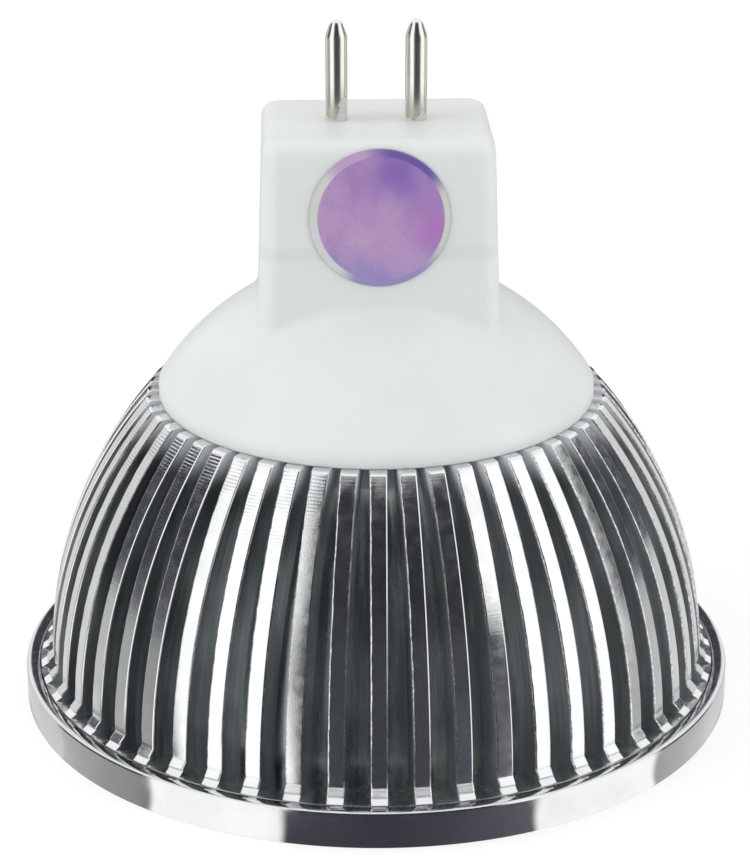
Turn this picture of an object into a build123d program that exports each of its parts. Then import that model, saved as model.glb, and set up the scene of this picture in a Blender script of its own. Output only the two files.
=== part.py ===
from build123d import *
import math
import os

# LED spotlight lamp with a two-pin cap, in millimetres.
# It stands on its front ring with the pins up, and heights are measured from the front plane.

# Front ring
rim_diameter = 50.0
ring_height = 2.6
ring_wall = 0.95
ring_edge = 0.2
lip_thickness = 1.0
lip_width = 2.0

# Heat sink
fin_count = 52
fin_phase = 5.2
fin_thickness = 1.15
fin_depth = 2.4
fin_root = 0.3
groove_runs = 4
fin_foot_ledge = 0.85
fin_foot_height = 0.8
fin_step_width = 0.4
fin_step_height = 0.15
fin_top_radius = 15.8
fin_arc_radius = 30.4
fin_top_round = 0.35
cup_wall = 1.2
floor_thickness = 3.4
deck_recess = 4.3
flange_clearance = 0.05
wire_hole_diameter = 5.0

# Lens
lens_flange_thickness = 0.8
lens_clearance = 0.15
collimator_count = 3
collimator_height = 10.7
collimator_gap = 0.1
collimator_side_gap = 1.4
collimator_rim = 1.0
pocket_clearance = 0.45
pocket_depth = 4.0

# LED board and emitters
lens_board_gap = 0.2
board_thickness = 1.6
board_clearance = 0.4
pad_thickness = 0.3
emitter_width = 3.5
emitter_base_height = 0.8
emitter_lens_diameter = 2.6
emitter_lens_height = 1.0
emitter_lens_edge = 0.3

# Base housing
dome_radius = 17.9
dome_ledge = 0.75
dome_skirt = 0.87
housing_wall = 1.3
spigot_clearance = 0.1
seat_gap = 0.2
cap_height = 10.2
cap_width = 15.35
cap_depth = 11.6
cap_draft = 1.9
cap_corner = 1.2
cap_edge = 0.9
cap_end_wall = 1.6

# Contact pins
pin_spacing = 5.33
pin_diameter = 1.45
pin_length = 6.8
pin_tip_length = 1.2
pin_tip_diameter = 0.8
pin_tip_crown = 0.2
pin_shank_diameter = 1.8
pin_boss_diameter = 3.2
pin_boss_length = 1.4
pin_tail_length = 4.0
press_clearance = 0.02

# Screws
screw_diameter = 2.5
screw_clearance = 0.2
thread_clearance = 0.03
board_screw_head_diameter = 4.2
board_screw_head_height = 1.4
board_screw_head_edge = 0.45
base_screw_head_diameter = 4.6
base_screw_head_angle = 90
base_screw_grip = 5.0
screw_boss_diameter = 4.2
screw_boss_overlap = 0.4
screw_end_gap = 0.5

# Driver board and its guide ribs
driver_thickness = 1.0
driver_side_gap = 0.2
driver_top_gap = 0.4
driver_bottom_gap = 2.4
guide_grip = 1.0
guide_rib = 0.8
guide_clearance = 0.05
guide_start = 1.0

# Driver parts: width along X, length along Z, height off the board
component_gap = 0.6
lead_reach = 0.5
lead_thickness = 0.25
package_edge = 0.3
inductor_size = 6.0
inductor_height = 2.8
inductor_corner = 1.2
inductor_core_diameter = 4.4
inductor_core_step = 0.2
ic_width = 3.9
ic_length = 4.9
ic_height = 1.5
ic_leads_per_side = 4
ic_lead_pitch = 1.27
ic_lead_width = 0.45
bridge_width = 4.7
bridge_length = 3.9
bridge_height = 2.2
bridge_leads_per_side = 2
bridge_lead_pitch = 2.5
bridge_lead_width = 0.6
diode_width = 4.3
diode_length = 2.6
diode_height = 2.0
diode_leads_per_side = 1
diode_lead_width = 1.5
resistor_width = 1.6
resistor_length = 3.2
resistor_height = 0.6
ceramic_width = 2.5
ceramic_length = 2.5
ceramic_height = 1.8
chip_cap_length = 0.5
chip_cap_step = 0.06
can_diameter = 5.0
can_length = 7.5
can_groove_depth = 0.3
can_groove_width = 0.8
can_groove_place = 1.2

# LED wires
wire_diameter = 1.1
wire_pitch = 1.6
wire_bend = 1.2
wire_solder_length = 1.9
wire_lens_gap = 1.8

# Sticker
sticker_diameter = 9.4
sticker_thickness = 0.1
sticker_drop = 5.1

# Heights of the stack, from the front ring's lip to the cap's end
lens_back = lip_thickness + lens_flange_thickness
collimator_back = lens_back + collimator_height
board_front = collimator_back + lens_board_gap
board_back = board_front + board_thickness
floor_front = board_back + pad_thickness
floor_back = floor_front + floor_thickness
deck = floor_back + deck_recess
dome_edge_radius = fin_top_radius - dome_ledge
dome_centre = deck + dome_skirt - math.sqrt(dome_radius**2 - dome_edge_radius**2)
dome_crown = dome_centre + dome_radius
cap_top = dome_crown + cap_height
cap_ceiling = cap_top - cap_end_wall
draft_slope = math.tan(math.radians(cap_draft))

# Radii
rim_radius = rim_diameter / 2
ring_bore_radius = rim_radius - ring_wall
lip_radius = ring_bore_radius - lip_width
flange_radius = ring_bore_radius - flange_clearance
fin_foot_radius = flange_radius - fin_foot_ledge
pin_radius = pin_diameter / 2
screw_radius = screw_diameter / 2
wire_radius = wire_diameter / 2
wire_hole_radius = wire_hole_diameter / 2


# The bowl: every wall of the heat sink follows the arc of the fins' outer edge
foot_top = ring_height + fin_foot_height
chord_radius = fin_top_radius - fin_foot_radius
chord_height = deck - foot_top
chord = math.hypot(chord_radius, chord_height)
arc_offset = math.sqrt(fin_arc_radius**2 - chord**2 / 4) / chord
bowl_centre_radius = (fin_top_radius + fin_foot_radius) / 2 - arc_offset * chord_height
bowl_centre_height = (deck + foot_top) / 2 + arc_offset * chord_radius


def bowl_radius(height, inset):
    """Radius of the bowl at a height, on the surface that lies inset below the fins' outer edge."""
    arc_radius = fin_arc_radius - inset
    return bowl_centre_radius + math.sqrt(arc_radius**2 - (height - bowl_centre_height) ** 2)


cup_front_radius = bowl_radius(lens_back, fin_depth + cup_wall)
cup_back_radius = bowl_radius(floor_front, fin_depth + cup_wall)
recess_radius = bowl_radius(deck, fin_depth) - cup_wall
spigot_radius = recess_radius - spigot_clearance
spigot_end = floor_back + seat_gap
bore_radius = spigot_radius - housing_wall
bore_top = dome_centre + math.sqrt(dome_radius**2 - bore_radius**2) - housing_wall
lens_circle = cup_front_radius - collimator_side_gap
collimator_share = math.sin(math.pi / collimator_count)
collimator_front_radius = (lens_circle * collimator_share - collimator_gap / 2) / (1 + collimator_share)
emitter_circle = lens_circle - collimator_front_radius
emitter_angle = 360 / collimator_count
screw_boss_circle = bore_radius - screw_boss_diameter / 2 + screw_boss_overlap


# Bezel ring: an L section turned about the lamp's axis
with BuildPart() as bezel_ring:
    with BuildSketch(Plane.XZ):
        with BuildLine():
            Polyline(
                (lip_radius, 0),
                (rim_radius, 0),
                (rim_radius, ring_height),
                (ring_bore_radius, ring_height),
                (ring_bore_radius, lip_thickness),
                (lip_radius, lip_thickness),
                close=True,
            )
        make_face()
    revolve(axis=Axis.Z)
    circles = bezel_ring.edges().filter_by(GeomType.CIRCLE)
    chamfer(circles.group_by(SortBy.RADIUS)[-1], ring_edge)


# Heat sink: a bowl with a flat between each two fins, a thin flange, and fins that stand on it
step_radius = fin_foot_radius + fin_step_width
step_top = foot_top - fin_step_width
fin_middle = (foot_top + deck) / 2

with BuildPart() as fin:
    with BuildSketch(Plane.XZ) as fin_profile:
        with BuildLine():
            outer_edge = ThreePointArc(
                (fin_foot_radius, foot_top),
                (bowl_radius(fin_middle, 0), fin_middle),
                (fin_top_radius, deck),
            )
            Polyline(
                outer_edge @ 1,
                (bowl_radius(deck, fin_depth + fin_root), deck),
                (bowl_radius(ring_height, fin_depth + fin_root), ring_height),
                (flange_radius - flange_clearance, ring_height),
                (step_radius, step_top - fin_step_height),
                (step_radius, step_top),
                outer_edge @ 0,
            )
        make_face()
        top_corners = fin_profile.vertices().group_by(Axis.Y)[-1]
        fillet(top_corners.sort_by(Axis.X)[-1], fin_top_round)
    extrude(amount=fin_thickness / 2, both=True)

with BuildPart() as heat_sink:
    for step in range(groove_runs + 1):
        height = ring_height + step * (deck - ring_height) / groove_runs
        with BuildSketch(Plane.XY.offset(height)):
            RegularPolygon(bowl_radius(height, fin_depth), fin_count, rotation=fin_phase)
    loft(ruled=True)
    with BuildSketch(Plane.XY.offset(lens_back)):
        Circle(flange_radius)
    extrude(amount=ring_height - lens_back)
    with PolarLocations(0, fin_count, start_angle=fin_phase):
        add(fin.part)
    with BuildSketch(Plane.XZ):
        with BuildLine():
            Polyline(
                (0, lens_back),
                (cup_front_radius, lens_back),
                (cup_back_radius, floor_front),
                (0, floor_front),
                close=True,
            )
        make_face()
    revolve(axis=Axis.Z, mode=Mode.SUBTRACT)
    with BuildSketch(Plane.XY.offset(floor_back)):
        Circle(recess_radius)
    extrude(amount=deck_recess, mode=Mode.SUBTRACT)
    with BuildSketch(Plane.XY.offset(floor_front)):
        Circle(wire_hole_radius)
        with PolarLocations(emitter_circle, collimator_count, start_angle=emitter_angle / 2):
            Circle(screw_radius + thread_clearance)
    extrude(amount=floor_thickness, mode=Mode.SUBTRACT)
    floor_face = Plane((0, 0, floor_front), x_dir=(1, 0, 0), z_dir=(0, 0, -1))
    with Locations(floor_face):
        with GridLocations(0, 2 * screw_boss_circle, 1, 2):
            CounterSinkHole(
                screw_radius + screw_clearance,
                base_screw_head_diameter / 2 + screw_clearance,
                floor_thickness,
                base_screw_head_angle,
            )


# Lens: a clear plate with a hollow cone behind it for each emitter
pocket_radius = emitter_width / math.sqrt(2) + pocket_clearance
collimator_back_radius = pocket_radius + collimator_rim

with BuildPart() as collimator:
    with BuildSketch(Plane.XZ):
        with BuildLine():
            Polyline(
                (0, lens_back),
                (collimator_front_radius, lens_back),
                (collimator_back_radius, collimator_back),
                (pocket_radius, collimator_back),
                (pocket_radius, collimator_back - pocket_depth),
                (0, collimator_back - pocket_depth),
                close=True,
            )
        make_face()
    revolve(axis=Axis.Z)

with BuildPart() as lens_array:
    with BuildSketch(Plane.XY.offset(lip_thickness)):
        Circle(ring_bore_radius - lens_clearance)
    extrude(amount=lens_flange_thickness)
    with PolarLocations(emitter_circle, collimator_count):
        add(collimator.part)


# LED board and thermal pad: discs with a hole for the wires and one for each screw
def make_disc(low, thickness):
    """Disc that lies against the heat sink's floor, with its holes."""
    with BuildPart() as disc:
        with BuildSketch(Plane.XY.offset(low)):
            Circle(cup_back_radius - board_clearance)
            Circle(wire_hole_radius, mode=Mode.SUBTRACT)
            with PolarLocations(emitter_circle, collimator_count, start_angle=emitter_angle / 2):
                Circle(screw_radius + screw_clearance, mode=Mode.SUBTRACT)
        extrude(amount=thickness)
    return disc


led_board = make_disc(board_front, board_thickness)
thermal_pad = make_disc(board_back, pad_thickness)


# Emitters: a square ceramic base with a low round lens, facing the front
def make_emitter(index):
    """Emitter on the board's front face, at its place on the emitter circle."""
    angle = math.radians(index * emitter_angle)
    place = (emitter_circle * math.cos(angle), emitter_circle * math.sin(angle), board_front)
    face = Plane(place, x_dir=(math.cos(angle), math.sin(angle), 0), z_dir=(0, 0, -1))
    with BuildPart() as emitter:
        with BuildSketch(face):
            Rectangle(emitter_width, emitter_width)
        extrude(amount=emitter_base_height)
        with BuildSketch(face.offset(emitter_base_height)):
            Circle(emitter_lens_diameter / 2)
        extrude(amount=emitter_lens_height)
        chamfer(emitter.faces().sort_by(Axis.Z)[0].edges(), emitter_lens_edge)
    return emitter


# Screws: pan heads hold the LED board, countersunk heads hold the base housing
with BuildPart() as board_screw:
    with BuildSketch(Plane.XZ):
        with BuildLine():
            Polyline(
                (0, board_front - board_screw_head_height),
                (board_screw_head_diameter / 2, board_front - board_screw_head_height),
                (board_screw_head_diameter / 2, board_front),
                (screw_radius, board_front),
                (screw_radius, floor_back),
                (0, floor_back),
                close=True,
            )
        make_face()
    revolve(axis=Axis.Z)
    head_edges = board_screw.faces().sort_by(Axis.Z)[0].edges()
    chamfer(head_edges, board_screw_head_edge)

with BuildPart() as board_screws:
    with PolarLocations(emitter_circle, collimator_count, start_angle=emitter_angle / 2):
        add(board_screw.part)

base_screw_end = floor_back + base_screw_grip
base_screw_head_radius = base_screw_head_diameter / 2
base_screw_slope = math.tan(math.radians(base_screw_head_angle / 2))
base_screw_cone = (base_screw_head_radius - screw_radius) / base_screw_slope

with BuildPart() as base_screw:
    with BuildSketch(Plane.XZ):
        with BuildLine():
            Polyline(
                (0, floor_front),
                (base_screw_head_radius, floor_front),
                (screw_radius, floor_front + base_screw_cone),
                (screw_radius, base_screw_end),
                (0, base_screw_end),
                close=True,
            )
        make_face()
    revolve(axis=Axis.Z)

with BuildPart() as base_screws:
    with GridLocations(0, 2 * screw_boss_circle, 1, 2):
        add(base_screw.part)


# Base housing: a dome and a drafted cap block in one moulding, hollow inside
cap_end = Plane((0, 0, cap_top), x_dir=(1, 0, 0), z_dir=(0, 0, -1))
pin_boss_end = cap_ceiling - pin_boss_length
driver_half_width = cap_width / 2 - housing_wall - driver_side_gap
driver_middle = -pin_radius - driver_thickness / 2
guide_low = bore_top + guide_start
guide_inner = driver_half_width - guide_grip
guide_outer = (cap_width - housing_wall) / 2
guide_offset = driver_thickness / 2 + guide_clearance + guide_rib / 2

with BuildPart() as housing_hollow:
    with BuildSketch(Plane.XY.offset(spigot_end)):
        Circle(bore_radius)
    extrude(amount=bore_top - spigot_end)
    with BuildSketch(cap_end.offset(cap_end_wall)):
        Rectangle(cap_width - 2 * housing_wall, cap_depth - 2 * housing_wall)
    extrude(amount=cap_ceiling - bore_top + housing_wall, taper=-cap_draft)

with BuildPart() as base_housing:
    with BuildSketch(Plane.XZ):
        with BuildLine():
            skirt_angle = math.degrees(math.acos(dome_edge_radius / dome_radius))
            dome_line = CenterArc((0, dome_centre), dome_radius, skirt_angle, 90 - skirt_angle)
            Polyline(
                dome_line @ 1,
                (0, spigot_end),
                (spigot_radius, spigot_end),
                (spigot_radius, deck),
                (dome_edge_radius, deck),
                dome_line @ 0,
            )
        make_face()
    revolve(axis=Axis.Z)
    with BuildSketch(cap_end):
        RectangleRounded(cap_width, cap_depth, cap_corner)
    extrude(amount=cap_top - deck - dome_skirt, taper=-cap_draft)
    fillet(base_housing.faces().sort_by(Axis.Z)[-1].edges(), cap_edge)
    add(housing_hollow.part, mode=Mode.SUBTRACT)
    with BuildSketch(Plane.XY.offset(guide_low)):
        with Locations((0, driver_middle)):
            with GridLocations(guide_inner + guide_outer, 2 * guide_offset, 2, 2):
                Rectangle(guide_outer - guide_inner, guide_rib)
    extrude(amount=cap_ceiling - guide_low)
    with BuildSketch(Plane.XY.offset(pin_boss_end)):
        with GridLocations(pin_spacing, 0, 2, 1):
            Circle(pin_boss_diameter / 2)
    extrude(amount=pin_boss_length)
    with BuildSketch(Plane.XY.offset(pin_boss_end)):
        with GridLocations(pin_spacing, 0, 2, 1):
            Circle(pin_shank_diameter / 2 + press_clearance)
    extrude(amount=cap_top - pin_boss_end, mode=Mode.SUBTRACT)
    with BuildSketch(Plane.XY.offset(spigot_end)):
        with GridLocations(0, 2 * screw_boss_circle, 1, 2):
            Circle(screw_boss_diameter / 2)
    extrude(amount=bore_top - spigot_end)
    with BuildSketch(Plane.XY.offset(spigot_end)):
        with GridLocations(0, 2 * screw_boss_circle, 1, 2):
            Circle(screw_radius + thread_clearance)
    extrude(amount=base_screw_end + screw_end_gap - spigot_end, mode=Mode.SUBTRACT)


# Contact pins: a thicker shank in the cap's end, a plain pin above it and a solder tail below
pin_end = cap_top + pin_length
pin_tail_end = pin_boss_end - pin_tail_length


def make_pin(x):
    """Contact pin at its place across the cap."""
    with BuildPart() as pin:
        with BuildSketch(Plane((x, 0, 0), x_dir=(1, 0, 0), z_dir=(0, -1, 0))):
            with BuildLine():
                crown_start = (pin_tip_diameter / 2, pin_end - pin_tip_crown)
                crown = TangentArc((0, pin_end), crown_start, tangent=(1, 0))
                Polyline(
                    crown @ 1,
                    (pin_radius, pin_end - pin_tip_length),
                    (pin_radius, cap_top),
                    (pin_shank_diameter / 2, cap_top),
                    (pin_shank_diameter / 2, pin_boss_end),
                    (pin_radius, pin_boss_end),
                    (pin_radius, pin_tail_end),
                    (0, pin_tail_end),
                    crown @ 0,
                )
            make_face()
        revolve(axis=Axis((x, 0, 0), (0, 0, 1)))
    return pin


contact_pin_left = make_pin(-pin_spacing / 2)
contact_pin_right = make_pin(pin_spacing / 2)


# Driver board: it stands in the guide ribs, and the pins' tails lie against its rear face
driver_low = floor_back + driver_bottom_gap
driver_high = pin_boss_end - driver_top_gap
driver_front = Plane.XZ.offset(pin_radius + driver_thickness)
driver_rear = Plane((0, -pin_radius, 0), x_dir=(-1, 0, 0), z_dir=(0, 1, 0))

with BuildPart() as driver_board:
    with BuildSketch(Plane.XZ.offset(pin_radius)):
        with Locations((0, (driver_low + driver_high) / 2)):
            Rectangle(2 * driver_half_width, driver_high - driver_low)
    extrude(amount=driver_thickness)


# Driver parts: packages with flat leads, chips with end caps, an inductor and a can
def make_package(face, middle, size, leads_per_side, lead_pitch, lead_width):
    """Moulded package on a face of the board, with flat leads on its two sides."""
    width, length, height = size
    with BuildPart() as package:
        with BuildSketch(face):
            with Locations((0, middle)):
                Rectangle(width, length)
        extrude(amount=height)
        outward = Axis((0, 0, 0), tuple(face.z_dir))
        chamfer(package.faces().sort_by(outward)[-1].edges(), package_edge)
        with BuildSketch(face):
            with Locations((0, middle)):
                with GridLocations(width + lead_reach, lead_pitch, 2, leads_per_side):
                    Rectangle(2 * lead_reach, lead_width)
        extrude(amount=lead_thickness)
    return package


def make_chips(face, places, width, length, height):
    """Chip parts on a face of the board, each with a plated cap at both ends."""
    with BuildPart() as chips:
        with BuildSketch(face):
            with Locations(*places):
                Rectangle(width - 2 * chip_cap_step, length)
        extrude(amount=height - chip_cap_step)
        with BuildSketch(face):
            with Locations(*places):
                with GridLocations(0, length - chip_cap_length, 1, 2):
                    Rectangle(width, chip_cap_length)
        extrude(amount=height)
    return chips


inductor_middle = driver_low + component_gap + inductor_size / 2
ic_middle = inductor_middle + inductor_size / 2 + component_gap + ic_length / 2
bridge_middle = ic_middle + ic_length / 2 + component_gap + bridge_length / 2
resistor_place = inductor_size / 2 + component_gap + resistor_width / 2
can_middle = driver_low + wire_solder_length + component_gap + can_diameter / 2
diode_middle = can_middle + can_diameter / 2 + component_gap + diode_length / 2
ceramic_middle = diode_middle + diode_length / 2 + component_gap + ceramic_length / 2

driver_ic = make_package(
    driver_front,
    ic_middle,
    (ic_width, ic_length, ic_height),
    ic_leads_per_side,
    ic_lead_pitch,
    ic_lead_width,
)
bridge_rectifier = make_package(
    driver_front,
    bridge_middle,
    (bridge_width, bridge_length, bridge_height),
    bridge_leads_per_side,
    bridge_lead_pitch,
    bridge_lead_width,
)
freewheel_diode = make_package(
    driver_rear,
    diode_middle,
    (diode_width, diode_length, diode_height),
    diode_leads_per_side,
    diode_length,
    diode_lead_width,
)
sense_resistors = make_chips(
    driver_front,
    [(-resistor_place, inductor_middle), (resistor_place, inductor_middle)],
    resistor_width,
    resistor_length,
    resistor_height,
)
output_capacitor = make_chips(
    driver_rear, [(0, ceramic_middle)], ceramic_width, ceramic_length, ceramic_height
)

with BuildPart() as inductor:
    with BuildSketch(driver_front):
        with Locations((0, inductor_middle)):
            RectangleRounded(inductor_size, inductor_size, inductor_corner)
    extrude(amount=inductor_height - inductor_core_step)
    with BuildSketch(driver_front):
        with Locations((0, inductor_middle)):
            Circle(inductor_core_diameter / 2)
    extrude(amount=inductor_height)

with BuildPart() as input_capacitor:
    with BuildSketch(Plane.XZ.offset(pin_radius - can_diameter / 2)):
        with BuildLine():
            groove_start = can_length / 2 - can_groove_place
            groove_end = groove_start - can_groove_width
            groove_middle = (groove_start + groove_end) / 2
            can_top = can_middle + can_diameter / 2
            Polyline(
                (groove_start, can_top),
                (can_length / 2, can_top),
                (can_length / 2, can_middle),
                (-can_length / 2, can_middle),
                (-can_length / 2, can_top),
                (groove_end, can_top),
                (groove_middle, can_top - can_groove_depth),
                close=True,
            )
        make_face()
    revolve(axis=Axis((0, can_diameter / 2 - pin_radius, can_middle), (1, 0, 0)))


# LED wires: down from the driver board through the heat sink's floor, then out along the LED board
wire_pad_reach = emitter_circle - collimator_back_radius - wire_lens_gap


def make_led_wire(side):
    """Wire on one side of the wire hole, soldered at both ends."""
    x = side * wire_pitch / 2
    y = wire_radius - pin_radius
    top = driver_low + wire_solder_length
    low = board_front - wire_radius
    with BuildPart() as wire:
        with BuildLine() as route:
            FilletPolyline((x, y, top), (x, y, low), (side * wire_pad_reach, y, low), radius=wire_bend)
        with BuildSketch(Plane((x, y, top), z_dir=(0, 0, -1))):
            Circle(wire_radius)
        sweep(path=route.wire())
    return wire


led_wire_red = make_led_wire(-1)
led_wire_black = make_led_wire(1)


# Sticker: a thin disc on the cap block's drafted front face
sticker_height = cap_top - sticker_drop
sticker_face = Plane(
    (0, -cap_depth / 2 - sticker_drop * draft_slope, sticker_height),
    x_dir=(1, 0, 0),
    z_dir=(0, -math.cos(math.radians(cap_draft)), math.sin(math.radians(cap_draft))),
)

with BuildPart() as inspection_sticker:
    with BuildSketch(sticker_face):
        Circle(sticker_diameter / 2)
    extrude(amount=sticker_thickness)


# Files, one for each piece
pieces = {
    "bezel_ring": bezel_ring,
    "heat_sink": heat_sink,
    "lens_array": lens_array,
    "led_board": led_board,
    "thermal_pad": thermal_pad,
    "board_screws": board_screws,
    "base_screws": base_screws,
    "base_housing": base_housing,
    "contact_pin_left": contact_pin_left,
    "contact_pin_right": contact_pin_right,
    "driver_board": driver_board,
    "driver_ic": driver_ic,
    "bridge_rectifier": bridge_rectifier,
    "freewheel_diode": freewheel_diode,
    "sense_resistors": sense_resistors,
    "output_capacitor": output_capacitor,
    "inductor": inductor,
    "input_capacitor": input_capacitor,
    "led_wire_red": led_wire_red,
    "led_wire_black": led_wire_black,
    "inspection_sticker": inspection_sticker,
}
for index in range(collimator_count):
    pieces[f"led_emitter_{index + 1}"] = make_emitter(index)

os.makedirs("parts", exist_ok=True)
for name, piece in pieces.items():
    piece.part.label = name
    export_step(piece.part, f"parts/{name}.step")
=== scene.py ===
"""LED spotlight bulb on its front ring: detailed metal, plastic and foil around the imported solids."""
import math

import bpy
from mathutils import Matrix, Vector, noise


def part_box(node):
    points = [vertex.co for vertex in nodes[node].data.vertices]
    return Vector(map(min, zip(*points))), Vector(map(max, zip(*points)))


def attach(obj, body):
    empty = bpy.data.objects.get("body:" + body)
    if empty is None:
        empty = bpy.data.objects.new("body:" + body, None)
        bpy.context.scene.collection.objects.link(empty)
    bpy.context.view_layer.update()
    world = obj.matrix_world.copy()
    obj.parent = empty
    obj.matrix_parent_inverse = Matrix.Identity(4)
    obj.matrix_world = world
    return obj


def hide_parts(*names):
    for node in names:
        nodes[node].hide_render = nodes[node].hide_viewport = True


MM = 0.001

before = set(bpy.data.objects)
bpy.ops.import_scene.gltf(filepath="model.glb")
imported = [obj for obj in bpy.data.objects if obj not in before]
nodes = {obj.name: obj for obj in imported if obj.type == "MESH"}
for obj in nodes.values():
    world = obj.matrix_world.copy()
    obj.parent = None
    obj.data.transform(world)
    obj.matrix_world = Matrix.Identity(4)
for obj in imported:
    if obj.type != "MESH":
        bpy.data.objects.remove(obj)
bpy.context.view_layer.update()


def box_mm(node_name):
    """Lowest and highest corner of a CAD node, in millimetres."""
    low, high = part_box(node_name)
    return low / MM, high / MM


# Camera, fitted to the photograph
camera_place = Vector((-7.31, -187.96, 93.34))
camera_pitch = 21.55
camera_yaw = -2.2
focal_length_pixels = 2892.7
image_height_pixels = 862
sensor_size = 36.0

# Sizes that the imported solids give, in millimetres
ring_high = box_mm("bezel_ring")[1]
sink_low, sink_high = box_mm("heat_sink")
housing_low, housing_high = box_mm("base_housing")
pin_low, pin_high = box_mm("contact_pin_left")
sticker_low, sticker_high = box_mm("inspection_sticker")
lens_front = box_mm("lens_array")[0].z
board_front = box_mm("led_board")[0].z
floor_front = box_mm("thermal_pad")[1].z
rim_radius = ring_high.x
ring_height = ring_high.z
flange_radius = sink_high.x
flange_low = sink_low.z
deck = sink_high.z
dome_edge_radius = housing_high.x
cap_top = housing_high.z
spigot_end = housing_low.z

# Broken edges: distance of the middle point from both faces, as a share of the edge's size
edge_middle = 0.3

# Front ring
ring_wall = 0.95
lip_thickness = lens_front
lip_width = 2.0
ring_edge = 0.2
ring_segments = 360

# Turned metal
grains_per_mm = 13.0
grain_depth = 0.0012

# Heat sink
fin_count = 52
fin_phase = 5.2
fin_thickness = 1.15
fin_depth = 2.4
fin_arc_radius = 30.4
fin_top_round = 0.35
fin_top_margin = 0.03
fin_top_steps = 4
fin_foot_ledge = 0.85
fin_foot_height = 0.8
fin_step_width = 0.4
fin_step_height = 0.15
fin_foot_gap = 0.05
fin_arris = 0.10
fin_burr = 0.05
burrs_per_radian = 40
burrs_per_mm = 2.1
burr_seed = 0.5
fin_slices = 72
chatter_period = 0.19
chatter_heights = (deck - 6.5, deck - 1.5)
chatter_sides = (-7.0, -1.0)
# Colour of painted shade along the chatter ripples on the fins' faces near the top
chatter_shade_colour = (0.36, 0.38, 0.42)
# Painted light near the top of the grooves: the paler colour, and the heights over which it fades in
groove_painted_light_colour = (0.80, 0.82, 0.85)
groove_dark = (0.34, 0.37, 0.38)
painted_light_heights = (deck - 2.0, deck + 0.4)
oxide_sides = (-7.0, 6.0)
dome_ledge = 0.75
floor_thickness = 3.4
recess_clearance = 0.1
cup_wall = 1.2
wire_hole_radius = 2.5

# Base housing
dome_radius = 17.9
dome_skirt = 0.87
dome_edge_round = 0.06
housing_wall = 1.3
cap_width = 15.35
cap_depth = 11.6
cap_draft = 1.9
cap_corner = 1.2
cap_edge = 0.9
cap_end_wall = 1.6
cap_foot_blend = 0.55
cap_foot_share = 0.8
cap_least_corner = 0.3
cap_top_share = 0.6
housing_columns = 480
dome_steps = 24
blend_steps = 6
wall_steps = 12
cap_edge_steps = 7
foot_halvings = 40
# Painted shade: a faint darker band round the cap, where the parts inside show through the wall
shade_band_height = 34.0
shade_band_reach = (0.25, 0.7)
shade_band_colour = (0.70, 0.73, 0.72)
stain_centre = (-0.4, -0.6, cap_top)
stain_reach = (0.2, 1.4)
stain_colour = (0.68, 0.65, 0.57)

# Contact pins: shoulder and nose as shares of a radius, and heights up or depths down
pin_diameter = 1.45
pin_tip_length = 1.2
pin_tip_diameter = 0.8
pin_shank_diameter = 1.8
pin_boss_depth = 3.0
pin_shank_cover = 0.2
pin_segments = 48
pin_shoulder = [(1.0, -0.15), (0.985, 0.05), (0.92, 0.25)]
pin_nose = [(1.12, 0.34), (0.94, 0.17), (0.66, 0.06), (0.3, 0.01), (0.05, 0)]
left_glue_height = 1.6
right_glue_height = 0.7
glue_sides = (-0.2, 0.5)
glue_ragged = 2.4
glue_blur = 0.12
# Painted shade near the pins' feet, where they would mirror the white cap: its heights and its colour
foot_shade_heights = (cap_top + 0.4, cap_top + 2.8)
glue_colour = (0.60, 0.60, 0.56)
foot_shade_colour = (0.42, 0.40, 0.33)

# Sticker: blooms by centre and radius, and the rim's lobes of painted reflection by direction and half
# width in degrees
sticker_diameter = sticker_high.x - sticker_low.x
sticker_thickness = 0.1
sticker_segments = 128
sticker_edge = [(0.02, 0), (0, 0.35), (0.03, 0.85), (0.1, 1)]
film_edge_width = 0.12
foil_centre = (0.08, -0.06)
foil_radius = 4.2
foil_blur = 0.06
foil_drift = (1.6, 2.4)
foil_blue_heights = (-3.6, -1.2)
foil_violet = (0.41, 0.24, 0.54)
foil_blue = (0.34, 0.28, 0.60)
foil_rose = (0.55, 0.36, 0.60)
foil_deep = (0.26, 0.14, 0.50)
foil_magenta = (0.47, 0.20, 0.56)
rim_reflection_cream = (0.66, 0.66, 0.56)
foil_clear = (0.68, 0.71, 0.70)
rim_reflection_indigo = (0.16, 0.10, 0.42)
film_edge = (0.36, 0.37, 0.37)
foil_grain = (0.28, 0.16, 0.40)
foil_blooms = [
    ((-1.2, -1.4), 3.0, foil_rose),
    ((1.2, 3.0), 3.2, foil_deep),
    ((3.6, -0.9), 2.0, foil_magenta),
]
rim_reflection_lobes = [
    (112, 34, foil_rose),
    (62, 44, rim_reflection_indigo),
    (-82, 62, foil_blue),
    (-150, 40, foil_clear),
]

# LED emitters
emitter_base_height = 0.8
emitter_joint_blur = 0.03

# Stage cards: distances and heights in millimetres, turns in degrees
camera_turn = math.degrees(math.atan2(camera_place.y, camera_place.x))
card_distance = 600
card_step = 0.25
floor_card_lift = 0.05
back_card_distance = 60
back_card_heights = (1, 46)
back_card_sides = (-40, 40)
back_tone = 0.06
fin_card_low = 7.0
fin_card_steps = 12
fin_tone_low = 12.0
fin_tone_high = 15.0

# Strips on the cards, in degrees from the camera's side: two edges, the lean of each, and tone
white_tone = 1.2
grey_tone = 0.72
strips = [
    (-96, -58.5, 0, 0, grey_tone),
    (-36.4, -14, 0, 0.7, white_tone),
    (24.5, 48, -5.5, 0, white_tone),
    (66, 96, 0, 0, grey_tone),
]
strip_softness = 0.8
card_reach = 88
gap_low = 0.06
gap_high = 0.03
gap_side = 60
ring_gap_rise = 0.55
low_gap_rise = 0.18
high_gap_rise = 0.05

# Floor, surround, lights and camera: distances in metres, and strengths
floor_reach = 3.0
floor_glow = 0.72
fill_strength = 0.76
softbox_distance = 0.45
camera_clip_start = 0.01

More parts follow.
